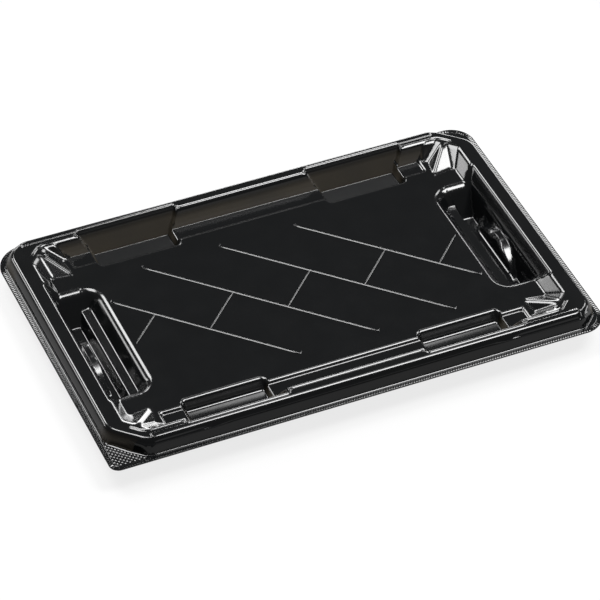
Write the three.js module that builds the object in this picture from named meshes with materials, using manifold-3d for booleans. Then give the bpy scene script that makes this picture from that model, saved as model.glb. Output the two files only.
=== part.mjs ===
// A shallow vacuum-formed food tray: one thin sheet of black polystyrene, drawn into a raised
// floor, two end pods that it stands on, four side bays, a flat rim and a flange round the edge.
// Millimetres, +Z up, X along the length. The origin is the middle of the tray on the surface
// that it stands on.

import * as THREE from 'three';
import { mergeVertices } from 'three/addons/utils/BufferGeometryUtils.js';
import Module from 'manifold-3d';

const wasm = await Module();
wasm.setup();

// Driving dimensions. Lengths with HALF are measured from the middle of the tray.
const SHEET = 0.5;
const HEIGHT = 17.5;
const RIM_HALF_LENGTH = 100;
const RIM_HALF_WIDTH = 63.1;
const FLANGE_WIDTH = 4.8;

// Depths below the rim, to the upper face of the sheet.
const FLOOR_DEPTH = 5.9;
const GROOVE_DEPTH = 7.4;
const BAY_DEPTH = 10.4;
const POD_LEDGE_DEPTH = 11.8;
const POD_DEPTH = HEIGHT - SHEET;
const FLANGE_DEPTH = 6.9;
const SHOULDER_DEPTH = 2.5;

// The well inside the rim, and the corner cut of its upper edge.
const WELL_HALF_LENGTH = 94.2;
const WELL_HALF_WIDTH = 57.4;
const WELL_CORNER_CUT = 6.9;
const END_SLOPE_RUN = 5.9;
const SIDE_WALL_RUN = 4.2;

// The raised floor, and the groove between it and the long walls.
const FLOOR_HALF_WIDTH = 45.7;
const GROOVE_HALF_LENGTH = 77.4;
const GROOVE_INNER_RUN = 0.7;
const GROOVE_END_RUN = 0.8;

// Each long side has two bays, one on either side of the middle.
const BAY_MIDDLE = 49.9;
const BAY_HALF_LENGTH = 21.4;
const BAY_OUTER_EDGE = 59.7;
const BAY_INNER_EDGE = 41.8;
const BAY_OUTER_RUN = 3.9;
const BAY_INNER_RUN = 3.4;
const BAY_END_RUN = 5.1;

// The pod at each end: a slope, a ledge and a deeper foot against the end wall.
const POD_HALF_WIDTH = 31.7;
const POD_SIDE_RUN = 8.9;
const POD_INNER_EDGE = 73.8;
const POD_INNER_RUN = 4.1;
const POD_LEDGE_EDGE = 82;
const POD_FOOT_RUN = 1.8;
const POD_WALL_AT_FLOOR = 91;
const POD_WALL_RUN = 1.5;

// The finger notch that pushes an arch into each pod from outside.
const NOTCH_FRONT = 86;
const NOTCH_DEPTH = 7.9;
const NOTCH_HALF_WIDTH = 17.5;
const NOTCH_FRONT_RUN = 0.9;

// Fluted corners: ribs fan out from FAN_CENTRE between the end slope and the groove.
const FAN_CENTRE = [93, 56];
const FAN_START = 24;
const FAN_FULL = 42;
const FAN_SHORT_RUN = 10;
const FAN_LONG_RUN = 15.6;
const FAN_RIB_PITCH = 25;
const FAN_RIB_CREST = 40;
const FAN_RIB_SWELL = 1.1;

// Corner cuts of the rim and corner radii of the flange, from the front right one
// anticlockwise. The front left corner of the flange is left square as a tab.
const RIM_CUTS = [5.5, 12, 5.5, 12];
const FLANGE_RADII = [10, 10, 13, 4];

// Distances outside the rim outline: the shoulder of the skirt, and its foot on the flange.
const SHOULDER_OUT = 1.1;
const FLANGE_FOOT = 2;

// The formed sheet is trimmed this far inside the rim outline, and the band that carries the
// rim reaches a little further in, so that the two join into one body.
const TRIM_INSET = 2.4;
const BAND_INSET = 3.4;

// Mesh fineness: the widest grid gaps along X and Y, and the points round a corner.
const GRID_GAP_X = 8;
const GRID_GAP_Y = 4.5;
const CORNER_STEPS = 6;

const clamp = (value, low, high) => Math.min(Math.max(value, low), high);

// Height of a sloping face, measured from the rim, at a horizontal distance past its upper
// edge. The under face of the sheet lies a sheet thickness away, square to the slope.
function slope(top, fall, run, distance, sheet) {
  const steepness = fall / run;
  return -top - steepness * distance - sheet * Math.hypot(1, steepness);
}

// A level face at a depth below the rim.
const level = (depth, sheet) => -depth - sheet;

// The fluted corner. Its run grows from the end slope towards the groove, and swells on ribs.
function corner(x, y, sheet) {
  const [cx, cy] = FAN_CENTRE;
  const angle = THREE.MathUtils.radToDeg(Math.atan2(cx - x, cy - y));
  const rise = THREE.MathUtils.smoothstep(angle, FAN_START, FAN_FULL);
  const swell = Math.cos(THREE.MathUtils.degToRad((angle - FAN_RIB_CREST) * 360 / FAN_RIB_PITCH));
  const run = FAN_SHORT_RUN + (FAN_LONG_RUN - FAN_SHORT_RUN) * rise + FAN_RIB_SWELL * swell;
  const edge = WELL_HALF_LENGTH + WELL_HALF_WIDTH - WELL_CORNER_CUT;
  return slope(0, FLOOR_DEPTH, run, (edge - x - y) / Math.SQRT2, sheet);
}

// One bay, in a quarter of the tray.
function bay(x, y, sheet) {
  const along = Math.abs(x - BAY_MIDDLE);
  const innerFall = BAY_DEPTH - FLOOR_DEPTH;
  return Math.max(
    level(BAY_DEPTH, sheet),
    slope(0, BAY_DEPTH, BAY_OUTER_RUN, BAY_OUTER_EDGE - y, sheet),
    slope(FLOOR_DEPTH, innerFall, BAY_INNER_RUN, y - BAY_INNER_EDGE, sheet),
    slope(0, BAY_DEPTH, BAY_END_RUN, BAY_HALF_LENGTH - along, sheet),
  );
}

// The finger notch, seen from inside as an arch that stands against the end wall.
function notch(x, y, sheet) {
  const rise = POD_DEPTH - NOTCH_DEPTH;
  const steepness = 2 * rise * y / NOTCH_HALF_WIDTH ** 2;
  const fall = rise * (y / NOTCH_HALF_WIDTH) ** 2;
  const arch = level(NOTCH_DEPTH + fall, sheet * Math.hypot(1, steepness));
  return Math.min(arch, slope(POD_DEPTH, rise, NOTCH_FRONT_RUN, NOTCH_FRONT - x, sheet));
}

// One pod, in a quarter of the tray.
function pod(x, y, sheet) {
  const ledgeFall = POD_LEDGE_DEPTH - FLOOR_DEPTH;
  const footFall = POD_DEPTH - POD_LEDGE_DEPTH;
  const inner = Math.min(
    slope(POD_LEDGE_DEPTH, footFall, POD_FOOT_RUN, x - POD_LEDGE_EDGE, sheet),
    Math.max(
      level(POD_LEDGE_DEPTH, sheet),
      slope(FLOOR_DEPTH, ledgeFall, POD_INNER_RUN, x - POD_INNER_EDGE, sheet),
    ),
  );
  const belowFloor = POD_DEPTH - FLOOR_DEPTH;
  const upperRun = WELL_HALF_LENGTH - POD_WALL_AT_FLOOR;
  const upperWall = slope(0, FLOOR_DEPTH, upperRun, WELL_HALF_LENGTH - x, sheet);
  const lowerWall = slope(FLOOR_DEPTH, belowFloor, POD_WALL_RUN, POD_WALL_AT_FLOOR - x, sheet);
  return Math.max(
    level(POD_DEPTH, sheet),
    x > POD_WALL_AT_FLOOR ? upperWall : lowerWall,
    inner,
    slope(FLOOR_DEPTH, belowFloor, POD_SIDE_RUN, POD_HALF_WIDTH - y, sheet),
    notch(x, y, sheet),
  );
}

// Height of the sheet inside the rim, above the standing surface: its upper face, or its
// under face where sheet is the sheet's thickness.
function height(signedX, signedY, sheet) {
  const x = Math.abs(signedX);
  const y = Math.abs(signedY);
  const sideWall = slope(0, GROOVE_DEPTH, SIDE_WALL_RUN, WELL_HALF_WIDTH - y, sheet);
  const well = Math.max(
    level(FLOOR_DEPTH, sheet),
    sideWall,
    slope(0, FLOOR_DEPTH, END_SLOPE_RUN, WELL_HALF_LENGTH - x, sheet),
    corner(x, y, sheet),
  );
  const grooveFall = GROOVE_DEPTH - FLOOR_DEPTH;
  const groove = Math.max(
    level(GROOVE_DEPTH, sheet),
    sideWall,
    corner(x, y, sheet),
    slope(FLOOR_DEPTH, grooveFall, GROOVE_INNER_RUN, y - FLOOR_HALF_WIDTH, sheet),
    slope(FLOOR_DEPTH, grooveFall, GROOVE_END_RUN, GROOVE_HALF_LENGTH - x, sheet),
  );
  const lowest = Math.min(well, groove, bay(x, y, sheet), pod(x, y, sheet));
  return HEIGHT + Math.min(lowest, level(0, sheet));
}

// Grid lines in one direction: the given break lines, mirrored, with gaps wider than the
// widest allowed divided evenly.
function gridLines(breaks, widest) {
  const sorted = [...new Set(breaks)].sort((a, b) => a - b);
  const half = [sorted[0]];
  for (const line of sorted.slice(1)) {
    const start = half[half.length - 1];
    const count = Math.ceil((line - start) / widest);
    for (let i = 1; i <= count; i += 1) half.push(start + (line - start) * i / count);
  }
  return [...half.slice(1).reverse().map((line) => -line), ...half];
}

// A manifold solid from a closed geometry.
function toManifold(geometry) {
  const merged = mergeVertices(geometry);
  return new wasm.Manifold(new wasm.Mesh({
    numProp: 3,
    vertProperties: merged.attributes.position.array,
    triVerts: new Uint32Array(merged.index.array),
  }));
}

// A manifold solid from points and triangles.
function toSolid(points, triangles) {
  const geometry = new THREE.BufferGeometry();
  geometry.setAttribute('position', new THREE.Float32BufferAttribute(points.flat(), 3));
  geometry.setIndex(triangles.flat());
  return toManifold(geometry);
}

// A closed solid from a list of closed loops with equally many points, joined in order and
// back to the first, like the skin of a ring.
function ring(loops) {
  const size = loops[0].length;
  const triangles = [];
  loops.forEach((loop, i) => {
    const next = (i + 1) % loops.length;
    for (let j = 0; j < size; j += 1) {
      const k = (j + 1) % size;
      triangles.push([i * size + j, next * size + k, next * size + j]);
      triangles.push([i * size + j, i * size + k, next * size + k]);
    }
  });
  return toSolid(loops.flat(), triangles);
}

// The sheet inside the rim, as a closed solid over the grid.
function formedSheet(xs, ys) {
  const columns = xs.length;
  const face = (sheet) => ys.flatMap((y) => xs.map((x) => [x, y, height(x, y, sheet)]));
  const points = [...face(0), ...face(SHEET)];
  const under = columns * ys.length;
  const triangles = [];
  for (let j = 0; j < ys.length - 1; j += 1) {
    for (let i = 0; i < columns - 1; i += 1) {
      const a = j * columns + i;
      const [b, c, d] = [a + 1, a + columns + 1, a + columns];
      // The diagonal runs the same way in opposite quarters, towards the corners.
      const outward = (xs[i] + xs[i + 1]) * (ys[j] + ys[j + 1]) > 0;
      const halves = outward ? [[a, b, c], [a, c, d]] : [[a, b, d], [b, c, d]];
      for (const [p, q, r] of halves) {
        triangles.push([p, q, r], [p + under, r + under, q + under]);
      }
    }
  }
  const border = [];
  for (let i = 0; i < columns - 1; i += 1) border.push(i);
  for (let j = 0; j < ys.length - 1; j += 1) border.push(j * columns + columns - 1);
  for (let i = columns - 1; i > 0; i -= 1) border.push((ys.length - 1) * columns + i);
  for (let j = ys.length - 1; j > 0; j -= 1) border.push(j * columns);
  border.forEach((p, i) => {
    const q = border[(i + 1) % border.length];
    triangles.push([p, p + under, q + under], [p, q + under, q]);
  });
  return toSolid(points, triangles);
}

// The corners of a box outline, front right first, anticlockwise: the signs of x and y, and
// whether the outline comes into the corner along X.
const CORNERS = [[1, -1, true], [1, 1, false], [-1, 1, true], [-1, -1, false]];

// The rim outline moved outwards by a distance, at a height. Its corners are cut at 45 degrees.
function rimLoop(out, z) {
  const a = RIM_HALF_LENGTH + out;
  const b = RIM_HALF_WIDTH + out;
  return CORNERS.flatMap(([sx, sy, alongX], i) => {
    const cut = RIM_CUTS[i] + out * (2 - Math.SQRT2);
    const start = alongX ? [a - cut, b] : [a, b - cut];
    const end = alongX ? [a, b - cut] : [a - cut, b];
    return Array.from({ length: CORNER_STEPS + 1 }, (_, k) => {
      const t = k / CORNER_STEPS;
      const x = THREE.MathUtils.lerp(start[0], end[0], t);
      const y = THREE.MathUtils.lerp(start[1], end[1], t);
      return [sx * x, sy * y, z];
    });
  });
}

// The outer edge of the flange, with rounded corners.
function flangeLoop(z) {
  const a = RIM_HALF_LENGTH + FLANGE_WIDTH;
  const b = RIM_HALF_WIDTH + FLANGE_WIDTH;
  return CORNERS.flatMap(([sx, sy, alongX], i) => {
    const radius = FLANGE_RADII[i];
    return Array.from({ length: CORNER_STEPS + 1 }, (_, k) => {
      const t = (Math.PI / 2) * (alongX ? 1 - k / CORNER_STEPS : k / CORNER_STEPS);
      const x = a - radius + radius * Math.cos(t);
      const y = b - radius + radius * Math.sin(t);
      return [sx * x, sy * y, z];
    });
  });
}

// The rim, its skirt and the flange, as a closed band whose inner edge overlaps the sheet.
function rimAndFlange() {
  const flange = HEIGHT - FLANGE_DEPTH;
  const shoulder = HEIGHT - SHOULDER_DEPTH;
  return ring([
    rimLoop(-BAND_INSET, HEIGHT),
    rimLoop(-BAND_INSET, HEIGHT - SHEET),
    rimLoop(-SHEET, HEIGHT - SHEET),
    rimLoop(SHOULDER_OUT - SHEET, shoulder - SHEET / 2),
    rimLoop(FLANGE_FOOT - SHEET, flange - SHEET),
    flangeLoop(flange - SHEET),
    flangeLoop(flange),
    rimLoop(FLANGE_FOOT, flange),
    rimLoop(SHOULDER_OUT, shoulder),
    rimLoop(0, HEIGHT),
  ]);
}

// An upright prism inside the rim outline, taller than the tray, which trims the sheet.
function trimPrism() {
  const outline = rimLoop(-TRIM_INSET, 0).map(([x, y]) => new THREE.Vector2(x, y));
  const geometry = new THREE.ExtrudeGeometry(new THREE.Shape(outline), {
    depth: 3 * HEIGHT,
    bevelEnabled: false,
  });
  geometry.translate(0, 0, -HEIGHT);
  geometry.deleteAttribute('normal');
  geometry.deleteAttribute('uv');
  return toManifold(geometry);
}

// The whole tray: the formed sheet, trimmed, and the band that carries the rim and flange.
function tray() {
  const bayStart = BAY_MIDDLE - BAY_HALF_LENGTH;
  const bayEnd = BAY_MIDDLE + BAY_HALF_LENGTH;
  const floorShare = BAY_END_RUN * FLOOR_DEPTH / BAY_DEPTH;
  const xs = gridLines([
    0, bayStart, bayStart + floorShare, bayStart + BAY_END_RUN,
    bayEnd - BAY_END_RUN, bayEnd - floorShare, bayEnd,
    POD_INNER_EDGE, GROOVE_HALF_LENGTH, POD_INNER_EDGE + POD_INNER_RUN, POD_LEDGE_EDGE,
    POD_LEDGE_EDGE + POD_FOOT_RUN, NOTCH_FRONT, NOTCH_FRONT + NOTCH_FRONT_RUN,
    WELL_HALF_LENGTH - END_SLOPE_RUN, POD_WALL_AT_FLOOR - POD_WALL_RUN, POD_WALL_AT_FLOOR,
    WELL_HALF_LENGTH, RIM_HALF_LENGTH,
  ], GRID_GAP_X);
  const ys = gridLines([
    0, NOTCH_HALF_WIDTH, POD_HALF_WIDTH - POD_SIDE_RUN, POD_HALF_WIDTH,
    BAY_INNER_EDGE, BAY_INNER_EDGE + BAY_INNER_RUN, FLOOR_HALF_WIDTH,
    FLOOR_HALF_WIDTH + GROOVE_INNER_RUN, WELL_HALF_WIDTH - SIDE_WALL_RUN,
    BAY_OUTER_EDGE - BAY_OUTER_RUN, WELL_HALF_WIDTH, BAY_OUTER_EDGE, RIM_HALF_WIDTH,
  ], GRID_GAP_Y);
  return formedSheet(xs, ys).intersect(trimPrism()).add(rimAndFlange());
}

// A three.js mesh from a manifold solid.
function toMesh(name, solid, material) {
  const { vertProperties, triVerts } = solid.getMesh();
  const geometry = new THREE.BufferGeometry();
  geometry.setAttribute('position', new THREE.BufferAttribute(vertProperties, 3));
  geometry.setIndex(new THREE.BufferAttribute(triVerts, 1));
  geometry.computeVertexNormals();
  const mesh = new THREE.Mesh(geometry, material);
  mesh.name = name;
  return mesh;
}

const glossBlack = new THREE.MeshStandardMaterial({ color: 0x0b0b0c, roughness: 0.18, metalness: 0 });

const model = new THREE.Group();
model.add(toMesh('tray', tray(), glossBlack));

export default model;
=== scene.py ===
"""A vacuum-formed food tray in black plastic, on a plain pale floor.

The tray is one thin sheet. Its upper and under faces come from one height function, which
is built from drafted walls, rounded where they meet. The raised lines on the floor and the
fine relief on the flange are small closed bodies, sunk a little into the sheet and kept in
the same mesh. Shape sizes are in millimetres, with heights measured from the top of the rim.
Meshes are made in metres, in the frame of the CAD model, which gives the rim's height and
the outline of the flange.
"""

import math

import bpy
import numpy as np
from mathutils import Matrix, Vector


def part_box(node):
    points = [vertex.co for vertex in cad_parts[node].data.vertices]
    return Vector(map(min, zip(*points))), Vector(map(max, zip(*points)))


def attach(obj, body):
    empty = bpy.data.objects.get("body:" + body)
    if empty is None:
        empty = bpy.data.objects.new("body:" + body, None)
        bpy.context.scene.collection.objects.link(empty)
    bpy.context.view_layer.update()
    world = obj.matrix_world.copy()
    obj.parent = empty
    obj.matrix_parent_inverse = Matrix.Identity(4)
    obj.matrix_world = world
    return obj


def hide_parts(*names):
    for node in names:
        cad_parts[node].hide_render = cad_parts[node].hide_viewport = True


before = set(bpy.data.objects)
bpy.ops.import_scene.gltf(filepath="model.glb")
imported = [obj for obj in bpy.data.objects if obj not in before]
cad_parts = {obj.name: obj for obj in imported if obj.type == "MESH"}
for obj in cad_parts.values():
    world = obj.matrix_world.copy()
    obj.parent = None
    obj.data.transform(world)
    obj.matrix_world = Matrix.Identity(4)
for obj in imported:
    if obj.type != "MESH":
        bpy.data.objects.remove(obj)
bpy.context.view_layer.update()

MM = 0.001
SHEET = 0.5

# The outline, from the CAD box.
TRAY_LOW, TRAY_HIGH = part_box("tray")
RIM_TOP = TRAY_HIGH.z
FLANGE_WIDTH = 4.8
FLANGE_X = TRAY_HIGH.x / MM
FLANGE_Y = TRAY_HIGH.y / MM
RIM_X = FLANGE_X - FLANGE_WIDTH
RIM_Y = FLANGE_Y - FLANGE_WIDTH
POD_DEPTH = (TRAY_HIGH.z - TRAY_LOW.z) / MM - SHEET

# Corners by the signs of x and y: the cut of the rim, the radius of the flange and the
# distance from the middle at which the raised bead on the rim ends.
CORNERS = {
    (1, -1): {"cut": 5.5, "radius": 10.0, "bead_end": 94.0},
    (1, 1): {"cut": 12.0, "radius": 10.0, "bead_end": 86.2},
    (-1, 1): {"cut": 5.5, "radius": 13.0, "bead_end": 94.0},
    (-1, -1): {"cut": 12.0, "radius": 4.0, "bead_end": 86.2},
}

# Rim, skirt and flange.
FLANGE_DEPTH = 6.9
SHOULDER_DEPTH, SHOULDER_OUT = 2.5, 1.1
SHOULDER_WIDTH = 0.3
FLANGE_FOOT = 2.3
END_KNEE_DEPTH, END_KNEE_OUT = 4.6, 2.05
BEAD_DROP, LAND_DROP = 0.31, 0.72
BEAD_Y, BEAD_START = 60.2, 71.4
LIP_HEIGHT, LIP_PLACE, LIP_SPREAD = 0.29, 0.8, 0.46

# The well inside the rim.
WELL_X, WELL_Y, WELL_CUT = 94.2, 57.3, 6.9
FLOOR_DEPTH = 5.9
END_RUN = 5.5
CORNER_RUN = 10.0

# The flutes in each corner. A facet is two points of its foot on the floor and one on the rim.
INNER_FLUTE = (
    ((87.05, 42.8), (79.6, 41.6), (89.4, 54.3)),
    ((79.0, 43.4), (80.3, 50.2), (89.2, 54.2)),
)
OUTER_FLUTE_RUN, OUTER_FLUTE_END_X, OUTER_FLUTE_END_RUN = 5.8, 78.2, 2.6

# The groove along each long side.
GROOVE_DEPTH, GROOVE_WALL_RUN = 6.9, 4.1
GROOVE_FLOOR_Y, GROOVE_INNER_RUN = 45.8, 0.7
GROOVE_END_X, GROOVE_END_RUN = 77.3, 0.8

# The bays.
BAY_X, BAY_HALF = 49.9, 21.5
BAY_END_RUN = 5.4
BAY_OUTER_Y, BAY_LIP_DEPTH, BAY_LIP_RUN = 59.7, 1.5, 0.4
BAY_SHELF_WIDTH, BAY_SHELF_FALL = 0.35, 0.25
BAY_WALL_RUN = 4.3
BAY_FLOOR_Y, BAY_LEDGE_Y, BAY_LEDGE_DEPTH = 42.0, 45.4, 9.85
BAY_SLOPE_RUN, BAY_SLOPE_FALL = 3.0, 0.48
BAY_EDGE_RUN, BAY_EDGE_FALL = 1.0, 0.35
BAY_DEPTH = 10.35
BAY_ROUND = 4.5

# The pods.
POD_Y, POD_SIDE_RUN = 31.8, 8.9
POD_X, POD_LEDGE_X, POD_LEDGE_DEPTH = 73.8, 77.8, 11.5
POD_FOOT_X, POD_FOOT_DEPTH, POD_FOOT_RUN = 81.9, 12.0, 1.6
POD_WALL_X, POD_WALL_RUN = 91.0, 2.4
POD_ROUND = 6.5

# The arch of the finger notch in each pod.
NOTCH_X, NOTCH_RUN = 86.3, 1.0
NOTCH_Y, NOTCH_TOP_DEPTH, NOTCH_HALF_Y = -1.0, 7.9, 17.5


def smooth_max(a, b, width):
    """The greater of two heights, blended where they differ by less than the width."""
    share = np.maximum(width - np.abs(a - b), 0) / width
    return np.maximum(a, b) + share * share * width / 4


def smooth_min(a, b, width):
    return -smooth_max(-a, -b, width)


def smooth_step(value, low, high):
    t = np.clip((value - low) / (high - low), 0, 1)
    return t * t * (3 - 2 * t)


def plane(top, fall, run, past, sheet):
    """A sloping face: height -top at its upper edge, falling over a run past it. The under
    face lies a sheet's thickness away, square to the slope."""
    return -top - fall / run * past - sheet * math.hypot(1, fall / run)


def round_corner(u, v, radius):
    """Distance inside an outline with a rounded corner, from the distances inside its sides."""
    corner = np.hypot(np.maximum(radius - u, 0), np.maximum(radius - v, 0))
    return radius - corner + np.maximum(np.minimum(u, v) - radius, 0)


def facet(x, y, foot_a, foot_b, top, sheet):
    """A flat face of a corner flute, rising from a line on the floor to a point on the rim."""
    along = np.array(foot_b) - np.array(foot_a)
    along /= np.hypot(*along)
    across = np.array([-along[1], along[0]])
    rise = np.dot(np.array(top) - np.array(foot_a), across)
    past = (x - foot_a[0]) * across[0] + (y - foot_a[1]) * across[1]
    return plane(FLOOR_DEPTH, -FLOOR_DEPTH, abs(rise), past * np.sign(rise), sheet)


def corner_faces(x, y, sheet):
    """The flutes that fan out from each inner corner of the rim down to the floor."""
    diagonal = (WELL_X + WELL_Y - WELL_CUT - x - y) / math.sqrt(2)
    cut = plane(0, FLOOR_DEPTH, CORNER_RUN, diagonal, sheet)
    inner_flute = smooth_min(
        facet(x, y, *INNER_FLUTE[0], sheet),
        facet(x, y, *INNER_FLUTE[1], sheet),
        1.3,
    )
    outer_flute = smooth_min(
        plane(0, FLOOR_DEPTH, OUTER_FLUTE_RUN, WELL_Y - y, sheet),
        plane(FLOOR_DEPTH, -FLOOR_DEPTH, OUTER_FLUTE_END_RUN, x - OUTER_FLUTE_END_X, sheet),
        1.2,
    )
    return smooth_max(smooth_max(cut, inner_flute, 0.5), outer_flute, 0.5)


def bay(x, y, sheet):
    along = BAY_HALF - np.abs(x - BAY_X)
    bottom = smooth_max(
        plane(BAY_LEDGE_DEPTH, BAY_SLOPE_FALL, BAY_SLOPE_RUN, y - BAY_LEDGE_Y, sheet),
        -BAY_DEPTH - sheet,
        0.5,
    )
    lip = plane(0, BAY_LIP_DEPTH, BAY_LIP_RUN, BAY_OUTER_Y - y, sheet)
    shelf_y = BAY_OUTER_Y - BAY_LIP_RUN
    shelf = plane(BAY_LIP_DEPTH, BAY_SHELF_FALL, BAY_SHELF_WIDTH, shelf_y - y, sheet)
    below = BAY_LIP_DEPTH + BAY_SHELF_FALL
    steep = plane(below, BAY_DEPTH - below, BAY_WALL_RUN, shelf_y - BAY_SHELF_WIDTH - y, sheet)
    wall = smooth_min(smooth_max(lip, shelf, 0.2), steep, 0.3)
    fall, run = BAY_LEDGE_DEPTH - FLOOR_DEPTH, BAY_LEDGE_Y - BAY_FLOOR_Y
    end_steepness = BAY_DEPTH / BAY_END_RUN
    from_end = (along - FLOOR_DEPTH / end_steepness) * end_steepness * run / fall
    inset = round_corner(y - BAY_FLOOR_Y, from_end, BAY_ROUND)
    edge = plane(FLOOR_DEPTH, BAY_EDGE_FALL, BAY_EDGE_RUN, inset, sheet)
    past_edge = plane(FLOOR_DEPTH + BAY_EDGE_FALL, fall - BAY_EDGE_FALL, run - BAY_EDGE_RUN,
                      inset - BAY_EDGE_RUN, sheet)
    slope = smooth_min(edge, past_edge, 0.3)
    ends = plane(0, BAY_DEPTH, BAY_END_RUN, along, sheet)
    return smooth_max(smooth_max(bottom, wall, 0.12), smooth_max(slope, ends, 0.5), 0.8)


def notch(x, signed_y, sheet):
    y = signed_y - NOTCH_Y
    rise = POD_DEPTH - NOTCH_TOP_DEPTH
    steepness = 2 * rise * y / NOTCH_HALF_Y ** 2
    arch = -NOTCH_TOP_DEPTH - rise * (y / NOTCH_HALF_Y) ** 2 - sheet * np.hypot(1, steepness)
    front = plane(POD_DEPTH, rise, NOTCH_RUN, NOTCH_X - x, sheet)
    return smooth_min(arch, front, 0.8)


def pod(x, signed_y, sheet):
    y = np.abs(signed_y)
    fall, run = POD_LEDGE_DEPTH - FLOOR_DEPTH, POD_LEDGE_X - POD_X
    from_side = (POD_Y - y) * (POD_DEPTH - FLOOR_DEPTH) / POD_SIDE_RUN * run / fall
    slope = plane(FLOOR_DEPTH, fall, run, round_corner(x - POD_X, from_side, POD_ROUND), sheet)
    ledge = plane(POD_LEDGE_DEPTH, POD_FOOT_DEPTH - POD_LEDGE_DEPTH, POD_FOOT_X - POD_LEDGE_X,
                  x - POD_LEDGE_X, sheet)
    foot = plane(POD_FOOT_DEPTH, POD_DEPTH - POD_FOOT_DEPTH, POD_FOOT_RUN, x - POD_FOOT_X, sheet)
    inner = smooth_min(smooth_max(slope, ledge, 0.25), foot, 0.6)
    wall = smooth_min(
        plane(0, FLOOR_DEPTH, WELL_X - POD_WALL_X, WELL_X - x, sheet),
        plane(FLOOR_DEPTH, POD_DEPTH - FLOOR_DEPTH, POD_WALL_RUN, POD_WALL_X - x, sheet),
        0.4,
    )
    side = plane(FLOOR_DEPTH, POD_DEPTH - FLOOR_DEPTH, POD_SIDE_RUN, POD_Y - y, sheet)
    shape = smooth_max(inner, side, 1.0)
    shape = smooth_max(shape, notch(x, signed_y, sheet), 0.9)
    shape = smooth_max(shape, wall, 0.9)
    return smooth_max(shape, -POD_DEPTH - sheet, 0.8)


def inside_height(x, signed_y, sheet):
    """The tray inside the rim, in one half: x is a distance from the middle."""
    y = np.abs(signed_y)
    side = plane(0, GROOVE_DEPTH, GROOVE_WALL_RUN, WELL_Y - y, sheet)
    end = plane(0, FLOOR_DEPTH, END_RUN, WELL_X - x, sheet)
    walls = smooth_max(smooth_max(side, end, 0.8), corner_faces(x, y, sheet), 0.5)
    well = smooth_max(walls, -FLOOR_DEPTH - sheet, 0.6)
    fall = GROOVE_DEPTH - FLOOR_DEPTH
    groove = smooth_max(
        smooth_max(side, -GROOVE_DEPTH - sheet, 0.1),
        smooth_max(
            plane(FLOOR_DEPTH, fall, GROOVE_INNER_RUN, y - GROOVE_FLOOR_Y, sheet),
            plane(FLOOR_DEPTH, fall, GROOVE_END_RUN, GROOVE_END_X - x, sheet),
            1.6,
        ),
        0.25,
    )
    height = smooth_min(well, groove, 1.1)
    meet = 0.9 - 0.7 * smooth_step(-height, 4.5, 5.5)
    height = smooth_min(height, bay(x, y, sheet), meet)
    return smooth_min(height, pod(x, signed_y, sheet), 2.6)


def by_corner(x, y, name):
    """A corner's value at each point, chosen by the point's quarter."""
    return sum(
        np.where((np.sign(x + 1e-9) == sx) & (np.sign(y + 1e-9) == sy), values[name], 0.0)
        for (sx, sy), values in CORNERS.items()
    )


def outside_height(x, y, sheet):
    """Rim, skirt and flange, by the distance outside the rim's outline."""
    ax, ay = np.abs(x), np.abs(y)
    cut = (ax + ay - RIM_X - RIM_Y + by_corner(x, y, "cut")) / math.sqrt(2)
    out = smooth_max(smooth_max(ax - RIM_X, ay - RIM_Y, 1.5), cut, 2.5)
    middle = smooth_step(-ax, -75, -52) * smooth_step(ay, RIM_Y - 8, RIM_Y - 4)
    shoulder = SHOULDER_DEPTH - 0.8 * middle
    shoulder_out = SHOULDER_OUT - 0.35 * middle
    upper = shoulder / shoulder_out
    skirt = -upper * out - sheet * np.hypot(1, upper)
    skirt = smooth_max(skirt, -shoulder - sheet, 0.7)
    low_run = FLANGE_FOOT - shoulder_out - SHOULDER_WIDTH
    lower = (FLANGE_DEPTH - shoulder) / low_run
    low_out = out - shoulder_out - SHOULDER_WIDTH
    low_skirt = -shoulder - lower * low_out - sheet * np.hypot(1, lower)
    skirt = smooth_min(skirt, low_skirt, 0.7)
    plain = smooth_min(
        plane(0, END_KNEE_DEPTH, END_KNEE_OUT, out, sheet),
        plane(END_KNEE_DEPTH, FLANGE_DEPTH - END_KNEE_DEPTH, FLANGE_FOOT - END_KNEE_OUT,
              out - END_KNEE_OUT, sheet),
        0.4,
    )
    on_end = smooth_step((ax - RIM_X) - (ay - RIM_Y), -4, 2)
    skirt = skirt * (1 - on_end) + plain * on_end
    skirt = smooth_max(skirt, -FLANGE_DEPTH - sheet, 1.2)
    bead = np.maximum(np.minimum(ay - BEAD_Y, by_corner(x, y, "bead_end") - ax), BEAD_START - ax)
    land = -LAND_DROP + (LAND_DROP - BEAD_DROP) * smooth_step(bead, -0.3, 0.3)
    recess = smooth_step(ax, BAY_X - BAY_HALF - 1.5, BAY_X - BAY_HALF + 1.5)
    recess = recess * smooth_step(-ax, -BAY_X - BAY_HALF - 1.5, -BAY_X - BAY_HALF + 1.5)
    edge_y = WELL_Y + (BAY_OUTER_Y - WELL_Y) * recess
    well_cut = (ax + ay - WELL_X - WELL_Y + WELL_CUT) / math.sqrt(2)
    gap = smooth_max(smooth_max(ax - WELL_X, ay - edge_y, 2), well_cut, 2)
    on_side = smooth_step((ay - edge_y) - (ax - WELL_X), -3, 0)
    land = land + LIP_HEIGHT * on_side * np.exp(-(((gap - LIP_PLACE) / LIP_SPREAD) ** 2))
    return smooth_min(skirt, land - sheet, 3.2 - 0.6 * on_end)


def height(x, y, sheet=0.0):
    """Height of the sheet's upper face, or of its under face for the sheet's thickness."""
    inside = inside_height(np.abs(x), y, sheet)
    return smooth_min(outside_height(x, y, sheet), inside, 1.0)


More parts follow.
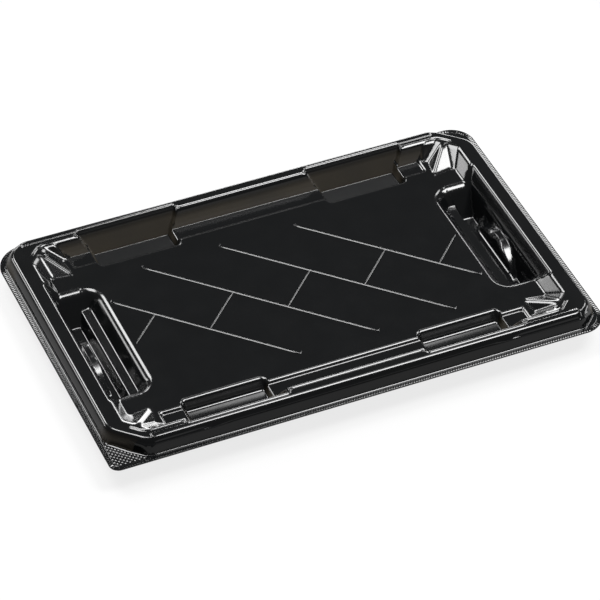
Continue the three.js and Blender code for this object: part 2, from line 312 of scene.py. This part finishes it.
def spaced(segments):
    """Grid distances from the middle outwards: each segment ends at a place, with a step."""
    lines = [0.0]
    for end, step in segments:
        start = lines[-1]
        count = max(1, round((end - start) / step))
        lines += [start + (end - start) * (i + 1) / count for i in range(count)]
    lines = np.array(lines)
    return np.concatenate([-lines[:0:-1], lines])


# How far the bending of the grid reaches along an edge, and inwards from it.
WARP_REACH = 22.0
WARP_END = 16.5


def corner_curve(distance, cut, radius):
    """Where a point goes that lay at a distance from a square corner, when the corner is cut
    or rounded: its inset from the side and its distance along the side."""
    if cut:
        half, steps = cut / math.sqrt(2), cut
    else:
        half, steps = radius * math.pi / 4, radius
    run = distance / WARP_REACH * (half + WARP_REACH - steps)
    if cut:
        inset = np.where(run < half, cut / 2 - run / math.sqrt(2), 0)
        along = np.where(run < half, cut / 2 + run / math.sqrt(2), run - half + cut)
    else:
        angle = math.pi / 4 - np.minimum(run, half) / radius
        inset = radius * (1 - np.cos(angle))
        along = np.where(run < half, radius * (1 - np.sin(angle)), run - half + radius)
    return inset, along


def warp(x, y):
    """Bends the square corners of the grid so that its lines follow the tray's outlines."""
    new_x, new_y = x.copy(), y.copy()
    for (sx, sy), values in CORNERS.items():
        from_side = FLANGE_X - sx * x
        from_end = FLANGE_Y - sy * y
        depth = np.minimum(from_side, from_end)
        distance = np.maximum(from_side, from_end) - depth
        near = (distance < WARP_REACH) & (depth < WARP_END)
        t, q = depth[near], distance[near]
        rings = [0, FLANGE_WIDTH - FLANGE_FOOT, FLANGE_WIDTH, FLANGE_X - WELL_X, WARP_END]
        curves = [
            corner_curve(q, 0, values["radius"]),
            corner_curve(q, values["cut"] + FLANGE_FOOT * (2 - math.sqrt(2)), 0),
            corner_curve(q, values["cut"], 0),
            corner_curve(q, WELL_CUT, 0),
            (np.zeros_like(q), q),
        ]
        inset, along = np.zeros_like(q), q.copy()
        for i in range(len(rings) - 1):
            here = (t >= rings[i]) & (t <= rings[i + 1])
            share = ((t - rings[i]) / (rings[i + 1] - rings[i]))[here]
            for target, k in ((inset, 0), (along, 1)):
                target[here] = curves[i][k][here] * (1 - share) + curves[i + 1][k][here] * share
        on_end = (from_side <= from_end)[near]
        side_gap = t + np.where(on_end, inset, along)
        end_gap = t + np.where(on_end, along, inset)
        new_x[near] = sx * (FLANGE_X - side_gap)
        new_y[near] = sy * (FLANGE_Y - end_gap)
    return new_x, new_y


def normals(x, y, sheet):
    """Unit normals of the height function, from its slope at each point."""
    step = 0.03
    slope_x = (height(x + step, y, sheet) - height(x - step, y, sheet)) / (2 * step)
    slope_y = (height(x, y + step, sheet) - height(x, y - step, sheet)) / (2 * step)
    n = np.stack([-slope_x, -slope_y, np.ones_like(x)], -1)
    return n / np.linalg.norm(n, axis=-1, keepdims=True)


class Builder:
    """Collects the closed bodies of one mesh: points in millimetres, faces and normals."""

    def __init__(self):
        self.points, self.faces, self.corner_normals = [], [], []
        self.count = 0

    def add(self, points, faces, corner_normals):
        self.points.append(np.asarray(points, float))
        self.faces.append(np.asarray(faces) + self.count)
        self.corner_normals.append(np.asarray(corner_normals, float))
        self.count += len(points)

    def mesh(self, name):
        points = np.concatenate(self.points) * MM
        points[:, 2] += RIM_TOP
        faces = np.concatenate(self.faces)
        mesh = bpy.data.meshes.new(name)
        mesh.vertices.add(len(points))
        mesh.vertices.foreach_set("co", points.astype(np.float32).ravel())
        mesh.loops.add(faces.size)
        mesh.loops.foreach_set("vertex_index", faces.astype(np.int32).ravel())
        mesh.polygons.add(len(faces))
        mesh.polygons.foreach_set("loop_start", np.arange(len(faces), dtype=np.int32) * 4)
        mesh.update(calc_edges=True)
        mesh.polygons.foreach_set("use_smooth", np.ones(len(faces), bool))
        mesh.normals_split_custom_set(np.concatenate(self.corner_normals).reshape(-1, 3))
        return mesh


# The grid, as places to reach and the step up to each. Two close lines at the foot of each
# long wall keep its inner corner sharp.
GRID_X = [(27, 3.0), (38, 0.65), (61.5, 2.9), (92.5, 0.65), (102.9, 0.37), (FLANGE_X, 0.65)]
WALL_FEET = [(53.1, 0.6), (53.3, 0.2), (54.55, 0.65), (54.75, 0.2)]
GRID_Y = [(20, 1.6), (33, 0.8), (40.5, 1.9)] + WALL_FEET + [(66.0, 0.36), (FLANGE_Y, 0.65)]


def formed_sheet(builder):
    """The tray's sheet, as two faces over one bent grid and a narrow edge all round."""
    xs, ys = spaced(GRID_X), spaced(GRID_Y)
    grid_x, grid_y = warp(*np.meshgrid(xs, ys))
    rows, columns = grid_x.shape
    index = np.arange(rows * columns).reshape(rows, columns)
    under = rows * columns
    top = np.stack([grid_x, grid_y, height(grid_x, grid_y)], -1).reshape(-1, 3)
    low = np.stack([grid_x, grid_y, height(grid_x, grid_y, SHEET)], -1).reshape(-1, 3)
    top_normals = normals(grid_x, grid_y, 0.0).reshape(-1, 3)
    low_normals = -normals(grid_x, grid_y, SHEET).reshape(-1, 3)
    a, b = index[:-1, :-1].ravel(), index[:-1, 1:].ravel()
    c, d = index[1:, 1:].ravel(), index[1:, :-1].ravel()
    upper = np.stack([a, b, c, d], -1)
    lower = np.stack([d, c, b, a], -1)
    border = np.concatenate([index[0, :-1], index[:-1, -1], index[-1, :0:-1], index[:0:-1, 0]])
    following = np.roll(border, -1)
    edge = np.stack([border, border + under, following + under, following], -1)
    along = top[following] - top[border]
    outward = np.stack([along[:, 1], -along[:, 0], np.zeros(len(along))], -1)
    outward /= np.linalg.norm(outward, axis=1, keepdims=True)
    builder.add(
        np.concatenate([top, low]),
        np.concatenate([upper, lower + under, edge]),
        np.concatenate([
            top_normals[upper],
            low_normals[lower],
            np.repeat(outward[:, None, :], 4, axis=1),
        ]),
    )


# A ridge's cross-section, as shares of half its width and of its crest, and its normals.
RIDGE_SINK = 0.2
RIDGE_SHAPE = [(1, -1), (0.62, 0.62), (0.25, 1), (-0.25, 1), (-0.62, 0.62), (-1, -1)]
RIDGE_NORMALS = [(0.6, 0.8), (0.55, 0.85), (0.3, 1), (-0.3, 1), (-0.55, 0.85), (-0.6, 0.8)]


def ridge(builder, path, width, crest, base, lean=1.0):
    """A low rounded ridge along a path on a level face, sunk a little into it. Its shading
    leans out to the sides by a share of the usual amount."""
    path = np.array(path, float)
    tangent = np.gradient(path, axis=0)
    tangent /= np.linalg.norm(tangent, axis=1, keepdims=True)
    across = np.stack([-tangent[:, 1], tangent[:, 0]], -1)
    shape = np.array(RIDGE_SHAPE)
    size = np.full(len(path), 1.0)
    size[0] = size[-1] = 0.45
    sides = shape[None, :, 0] * size[:, None] * width / 2
    up = np.where(shape[:, 1] < 0, -RIDGE_SINK, shape[:, 1] * crest)[None, :] * size[:, None]
    points = np.concatenate([
        path[:, None, :] + across[:, None, :] * sides[..., None],
        base + up[..., None],
    ], axis=-1)
    steep = np.array(RIDGE_NORMALS, float) * (lean, 1)
    steep /= np.linalg.norm(steep, axis=1, keepdims=True)
    turned = np.concatenate([
        across[:, None, :] * steep[None, :, :1],
        np.broadcast_to(steep[None, :, 1:], (len(path), len(steep), 1)),
    ], axis=-1)
    count = len(shape)
    faces = [
        (i * count + (j + 1) % count, (i + 1) * count + (j + 1) % count,
         (i + 1) * count + j, i * count + j)
        for i in range(len(path) - 1) for j in range(count)
    ]
    last = (len(path) - 1) * count
    faces += [(5, 4, 1, 0), (4, 3, 2, 1)]
    faces += [(last, last + 1, last + 4, last + 5), (last + 1, last + 2, last + 3, last + 4)]
    flat = turned.reshape(-1, 3)
    builder.add(points.reshape(-1, 3), faces, flat[np.array(faces)])


# Raised lines on the floor: long ones run at 45 degrees, short ones cross between them.
LINE_WIDTH, LINE_CREST = 1.1, 0.35
LINE_SUMS = (48.6, 15.8, -17.5, -50.8)
LINE_FAR_Y, LINE_NEAR_Y, LINE_LEFT_X, LINE_RIGHT_X = 35.1, -36.3, -71.6, 70.3
CROSS_DIFFERENCES = (67.1, 34.4, 1.35, -31.8, -65.0)
CROSS_LEFT_X, CROSS_RIGHT_X = -70.9, 71.5
HOOK = 1.1


def floor_lines(builder):
    for total in LINE_SUMS:
        start_x = max(total - LINE_FAR_Y, LINE_LEFT_X)
        end_x = min(total - LINE_NEAR_Y, LINE_RIGHT_X)
        xs = np.linspace(start_x, end_x, 24)
        path = [(x, total - x) for x in xs]
        path.insert(0, (path[0][0] + HOOK, path[0][1] + HOOK))
        path.append((path[-1][0] + HOOK, path[-1][1] + HOOK))
        ridge(builder, path, LINE_WIDTH, LINE_CREST, -FLOOR_DEPTH)
    for i, difference in enumerate(CROSS_DIFFERENCES):
        low_x = (LINE_SUMS[i] + difference) / 2 if i < len(LINE_SUMS) else CROSS_LEFT_X
        high_x = (LINE_SUMS[i - 1] + difference) / 2 if i > 0 else CROSS_RIGHT_X
        path = [(x, x - difference) for x in np.linspace(low_x, high_x, 8)]
        ridge(builder, path, LINE_WIDTH, LINE_CREST, -FLOOR_DEPTH)


# Fine relief on the flange: teeth along its outer strip, a bead inside them, and a field of
# small pyramids on the square tab at the front left corner.
KNURL_PITCH, KNURL_INNER, KNURL_OUTER = 1.05, 1.75, 0.2
KNURL_WIDTH, KNURL_HEIGHT = 0.8, 0.15
BORDER_INSET, BORDER_WIDTH, BORDER_HEIGHT, BORDER_LEAN = 2.05, 0.4, 0.1, 0.4
PYRAMID_PITCH, PYRAMID_SIZE, PYRAMID_HEIGHT = 1.9, 1.1, 0.16
TAB_REACH = 14.0
TAB_MARGIN = 0.6
STUD_SINK, STUD_TAPER = 0.04, 0.2


def flange_edge(inset):
    """The flange's outline moved inwards, front right corner first, as a closed path."""
    path = []
    for (sx, sy), along_x in zip(CORNERS, (True, False, True, False)):
        radius = CORNERS[(sx, sy)]["radius"]
        centre = (FLANGE_X - radius, FLANGE_Y - radius)
        for k in range(13):
            angle = math.pi / 2 * (1 - k / 12 if along_x else k / 12)
            reach = radius - inset
            path.append((sx * (centre[0] + reach * math.cos(angle)),
                         sy * (centre[1] + reach * math.sin(angle))))
    return np.array(path)


def walk(path, count):
    """Points spaced evenly by the share of the way round a closed path."""
    closed = np.vstack([path, path[:1]])
    lengths = np.concatenate([[0], np.cumsum(np.linalg.norm(np.diff(closed, axis=0), axis=1))])
    places = np.arange(count) / count * lengths[-1]
    return np.stack([np.interp(places, lengths, closed[:, k]) for k in (0, 1)], -1)


def studs(builder, centres, forward, length, width, rise):
    """Small flat-topped pyramids on the flange, each longer across than forward."""
    forward = forward / np.linalg.norm(forward, axis=1, keepdims=True)
    across = np.stack([-forward[:, 1], forward[:, 0]], -1)
    points = []
    for level, share in ((-STUD_SINK, 1.0), (rise, STUD_TAPER)):
        for a, f in ((-1, -1), (1, -1), (1, 1), (-1, 1)):
            inset = (1 - share) * width / 2
            place = centres + across * a * (length / 2 - inset) + forward * f * (width / 2) * share
            points.append(np.column_stack([place, np.full(len(centres), level - FLANGE_DEPTH)]))
    points = np.stack(points, 1)
    sides = [((k + 1) % 4, k, k + 4, (k + 1) % 4 + 4) for k in range(4)]
    quads = np.array([(0, 1, 2, 3), (7, 6, 5, 4)] + sides)
    corners = points[:, quads]
    normal = np.cross(corners[:, :, 2] - corners[:, :, 0], corners[:, :, 3] - corners[:, :, 1])
    normal /= np.linalg.norm(normal, axis=-1, keepdims=True)
    faces = quads[None] + 8 * np.arange(len(centres))[:, None, None]
    builder.add(
        points.reshape(-1, 3),
        faces.reshape(-1, 4),
        np.repeat(normal.reshape(-1, 1, 3), 4, axis=1),
    )


def flange_relief(builder):
    middle = flange_edge((KNURL_INNER + KNURL_OUTER) / 2)
    around = np.vstack([middle, middle[:1]])
    length = np.linalg.norm(np.diff(around, axis=0), axis=1).sum()
    centres = walk(middle, int(length / KNURL_PITCH))
    tangent = np.roll(centres, -1, axis=0) - np.roll(centres, 1, axis=0)
    studs(builder, centres, tangent, KNURL_INNER - KNURL_OUTER, KNURL_WIDTH, KNURL_HEIGHT)
    border = flange_edge(BORDER_INSET)
    border = np.vstack([border, border[:1]])
    ridge(builder, border, BORDER_WIDTH, BORDER_HEIGHT, -FLANGE_DEPTH, BORDER_LEAN)
    steps = np.arange(0, TAB_REACH, PYRAMID_PITCH)
    u, v = (axis.ravel() for axis in np.meshgrid(steps, steps))
    u, v = np.concatenate([u, u + PYRAMID_PITCH / 2]), np.concatenate([v, v + PYRAMID_PITCH / 2])
    from_side, from_end = u + BORDER_INSET + TAB_MARGIN, v + BORDER_INSET + TAB_MARGIN
    x, y = FLANGE_X - from_side, FLANGE_Y - from_end
    beyond = (x + y - RIM_X - RIM_Y + CORNERS[(-1, -1)]["cut"]) / math.sqrt(2)
    keep = beyond > FLANGE_FOOT + TAB_MARGIN
    centres = -np.column_stack([x, y])[keep]
    forward = np.tile([1.0, 1.0], (len(centres), 1))
    studs(builder, centres, forward, PYRAMID_SIZE, PYRAMID_SIZE, PYRAMID_HEIGHT)


# The plastic. The stretched walls are steep, below the rim and inside the skirt: their places
# are in metres, and their normals are told by the upward part.
INDEX_OF_REFRACTION = 1.3
PLASTIC_BLACK = (0.0010, 0.0011, 0.0012, 1)
# Painted light: a brown that stands for light shining through the thinly stretched walls.
PAINTED_SHINE_THROUGH_BROWN = (0.0085, 0.0065, 0.0035, 1)
BUMP_STRENGTH, BUMP_DISTANCE = 0.12, 0.00004
GLOSS_LOW, GLOSS_HIGH = 0.115, 0.145
STRETCHED_ROUGHNESS = 0.42
STRETCH_START, STRETCH_END = -0.0012, -0.004
STEEP_NORMAL, GENTLE_NORMAL = 0.55, 0.75
STRETCH_SIDE, STRETCH_SIDE_END = 0.045, 0.05
SKIRT_SIDE, SKIRT_SIDE_END = 0.0603, 0.0606


def tray_material():
    """Glossy black plastic whose gloss varies a little, duller where the long walls are
    stretched thin, with painted light there: brown streaks in its colour that stand for light
    shining through the thin sheet."""
    material = bpy.data.materials.new("black_plastic")
    material.use_nodes = True
    nodes, links = material.node_tree.nodes, material.node_tree.links
    shader = nodes["Principled BSDF"]
    shader.inputs["IOR"].default_value = INDEX_OF_REFRACTION
    place = nodes.new("ShaderNodeTexCoord")

    def noise(scale, detail):
        node = nodes.new("ShaderNodeTexNoise")
        node.inputs["Scale"].default_value = scale
        node.inputs["Detail"].default_value = detail
        links.new(place.outputs["Object"], node.inputs["Vector"])
        return node.outputs["Fac"]

    def spread(value, low, high, to_low, to_high):
        node = nodes.new("ShaderNodeMapRange")
        for name, number in (("From Min", low), ("From Max", high), ("To Min", to_low),
                             ("To Max", to_high)):
            node.inputs[name].default_value = number
        links.new(value, node.inputs["Value"])
        return node.outputs["Result"]

    split = nodes.new("ShaderNodeSeparateXYZ")
    links.new(place.outputs["Object"], split.inputs["Vector"])
    side = nodes.new("ShaderNodeMath")
    side.operation = "ABSOLUTE"
    links.new(split.outputs["Y"], side.inputs[0])
    deep = spread(split.outputs["Z"], RIM_TOP + STRETCH_START, RIM_TOP + STRETCH_END, 0, 1)
    outer = spread(side.outputs["Value"], STRETCH_SIDE, STRETCH_SIDE_END, 0, 1)
    stretched = nodes.new("ShaderNodeMath")
    stretched.operation = "MULTIPLY"
    links.new(deep, stretched.inputs[0])
    links.new(outer, stretched.inputs[1])
    within = nodes.new("ShaderNodeMath")
    within.operation = "MULTIPLY"
    links.new(stretched.outputs["Value"], within.inputs[0])
    links.new(spread(side.outputs["Value"], SKIRT_SIDE, SKIRT_SIDE_END, 1, 0), within.inputs[1])
    facing = nodes.new("ShaderNodeSeparateXYZ")
    links.new(place.outputs["Normal"], facing.inputs["Vector"])
    on_wall = nodes.new("ShaderNodeMath")
    on_wall.operation = "MULTIPLY"
    links.new(within.outputs["Value"], on_wall.inputs[0])
    links.new(spread(facing.outputs["Z"], STEEP_NORMAL, GENTLE_NORMAL, 1, 0), on_wall.inputs[1])
    duller = nodes.new("ShaderNodeMath")
    duller.operation = "MULTIPLY_ADD"
    duller.inputs[1].default_value = STRETCHED_ROUGHNESS
    links.new(on_wall.outputs["Value"], duller.inputs[0])
    links.new(spread(noise(90, 3), 0.35, 0.65, GLOSS_LOW, GLOSS_HIGH), duller.inputs[2])
    links.new(duller.outputs["Value"], shader.inputs["Roughness"])
    # Painted light: the brown is mixed in, in streaks, on the stretched walls where light would
    # shine through them.
    shine_through_streaks = nodes.new("ShaderNodeMath")
    shine_through_streaks.operation = "MULTIPLY"
    links.new(on_wall.outputs["Value"], shine_through_streaks.inputs[0])
    links.new(spread(noise(35, 2), 0.3, 0.7, 0.5, 1), shine_through_streaks.inputs[1])
    colour = nodes.new("ShaderNodeMix")
    colour.data_type = "RGBA"
    colour.inputs["A"].default_value = PLASTIC_BLACK
    colour.inputs["B"].default_value = PAINTED_SHINE_THROUGH_BROWN
    links.new(shine_through_streaks.outputs["Value"], colour.inputs["Factor"])
    links.new(colour.outputs["Result"], shader.inputs["Base Color"])

    bump = nodes.new("ShaderNodeBump")
    bump.inputs["Strength"].default_value = BUMP_STRENGTH
    bump.inputs["Distance"].default_value = BUMP_DISTANCE
    links.new(noise(260, 2), bump.inputs["Height"])
    links.new(bump.outputs["Normal"], shader.inputs["Normal"])
    return material


builder = Builder()
formed_sheet(builder)
floor_lines(builder)
flange_relief(builder)
tray = bpy.data.objects.new("formed_tray", builder.mesh("formed_tray"))
bpy.context.scene.collection.objects.link(tray)
tray.data.materials.append(tray_material())
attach(tray, "root")
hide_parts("tray")


# Painted light: the dark floor glows, fully within a round pool under the tray, washing out its
# cast shadow, and dimly farther out.
FLOOR_GLOW_POOL_REACH, FLOOR_GLOW_FADE_REACH = 0.23, 0.4


def make_floor():
    bpy.ops.mesh.primitive_plane_add(size=6)
    floor = bpy.context.object
    floor.name = "floor"
    floor.location.z = TRAY_LOW.z - 0.0002
    material = bpy.data.materials.new("glowing_floor")
    material.use_nodes = True
    shader = material.node_tree.nodes["Principled BSDF"]
    nodes, links = material.node_tree.nodes, material.node_tree.links
    place = nodes.new("ShaderNodeTexCoord")
    far = nodes.new("ShaderNodeVectorMath")
    far.operation = "LENGTH"
    links.new(place.outputs["Object"], far.inputs[0])
    fade = nodes.new("ShaderNodeMapRange")
    fade.inputs["From Min"].default_value = FLOOR_GLOW_POOL_REACH
    fade.inputs["From Max"].default_value = FLOOR_GLOW_FADE_REACH
    fade.inputs["To Min"].default_value = 1.0
    fade.inputs["To Max"].default_value = 0.12
    links.new(far.outputs["Value"], fade.inputs["Value"])
    # Painted light: the glow's colour, full inside the pool and dim beyond it.
    floor_glow_colour = nodes.new("ShaderNodeCombineColor")
    for channel in ("Red", "Green", "Blue"):
        links.new(fade.outputs["Result"], floor_glow_colour.inputs[channel])
    links.new(floor_glow_colour.outputs["Color"], shader.inputs["Emission Color"])
    shader.inputs["Base Color"].default_value = (0.035, 0.035, 0.035, 1)
    shader.inputs["Emission Strength"].default_value = 0.8
    shader.inputs["Roughness"].default_value = 0.9
    shader.inputs["Specular IOR Level"].default_value = 0.1
    floor.data.materials.append(material)
    return floor


# The camera, as seen from its target on the plane of the rim's top.
CAMERA_AZIMUTH, CAMERA_ELEVATION, CAMERA_ROLL = -23.428, 41.771, 0.225
CAMERA_DISTANCE = 1.41217
CAMERA_SHIFT_RIGHT, CAMERA_SHIFT_UP = 0.000998, -0.009455
CAMERA_LENS, CAMERA_SENSOR = 213.914, 36.0


def make_camera():
    azimuth, elevation = math.radians(CAMERA_AZIMUTH), math.radians(CAMERA_ELEVATION)
    forward = Vector((
        -math.sin(azimuth) * math.cos(elevation),
        math.cos(azimuth) * math.cos(elevation),
        -math.sin(elevation),
    ))
    right = forward.cross(Vector((0, 0, 1))).normalized()
    up = right.cross(forward)
    roll = math.radians(CAMERA_ROLL)
    right, up = (
        right * math.cos(roll) + up * math.sin(roll),
        up * math.cos(roll) - right * math.sin(roll),
    )
    data = bpy.data.cameras.new("camera")
    data.lens = CAMERA_LENS
    data.sensor_width = CAMERA_SENSOR
    data.clip_start, data.clip_end = 0.05, 20
    camera = bpy.data.objects.new("camera", data)
    bpy.context.scene.collection.objects.link(camera)
    place = Vector((0, 0, RIM_TOP)) - forward * CAMERA_DISTANCE
    place += right * CAMERA_SHIFT_RIGHT + up * CAMERA_SHIFT_UP
    turn = Matrix((right, up, -forward)).transposed().to_4x4()
    camera.matrix_world = Matrix.Translation(place) @ turn
    bpy.context.scene.camera = camera


def softbox(name, direction, distance, width, length, radiance):
    """A rectangular light at a distance from the tray, facing it, of a given brightness."""
    data = bpy.data.lights.new(name, "AREA")
    data.shape = "RECTANGLE"
    data.size, data.size_y = width, length
    data.energy = radiance * math.pi * width * length
    lamp = bpy.data.objects.new(name, data)
    bpy.context.scene.collection.objects.link(lamp)
    direction = Vector(direction).normalized()
    lamp.location = direction * distance
    turn = direction.to_track_quat("Z", "Y")
    lamp.rotation_euler = turn.to_euler()


def aim(azimuth, elevation):
    """A direction from the tray: azimuth 0 is behind it, along +Y, and 90 is to the right."""
    a, e = math.radians(azimuth), math.radians(elevation)
    return (math.sin(a) * math.cos(e), math.cos(a) * math.cos(e), math.sin(e))


def make_lights():
    softbox("overhead", (0.385, -0.16, 0.91), 1.7, 0.6, 0.78, 58)
    softbox("left_top", (-0.18, 0.27, 0.94), 1.7, 0.85, 0.55, 40)
    softbox("bay_ledge", aim(33, 57), 1.7, 0.25, 0.18, 13)
    softbox("back_left", aim(-21, 42), 1.8, 0.7, 0.4, 36)
    softbox("back_left_low", aim(-44, 15.5), 1.8, 0.8, 0.3, 17)
    softbox("right", aim(58, 44), 1.7, 0.4, 0.4, 28)
    softbox("right_low", aim(98, 6), 1.8, 1.0, 0.3, 12)
    softbox("back_right", aim(32, 8.5), 1.8, 1.2, 0.45, 16)
    softbox("back_low", aim(3, 22), 2.0, 0.42, 0.5, 12)
    softbox("front", aim(162, 17), 1.8, 1.2, 0.4, 1.05)
    softbox("bay_edge", (0.30, 0.10, 0.95), 1.7, 0.22, 0.22, 26)
    softbox("back_horizon", aim(-1, 6), 2.0, 0.4, 0.2, 9)
    world = bpy.data.worlds.new("world")
    bpy.context.scene.world = world
    world.use_nodes = True
    background = world.node_tree.nodes["Background"]
    background.inputs["Color"].default_value = (1, 1, 1, 1)
    background.inputs["Strength"].default_value = 0.2


make_floor()
make_camera()
make_lights()
bpy.context.scene.view_settings.view_transform = "Standard"
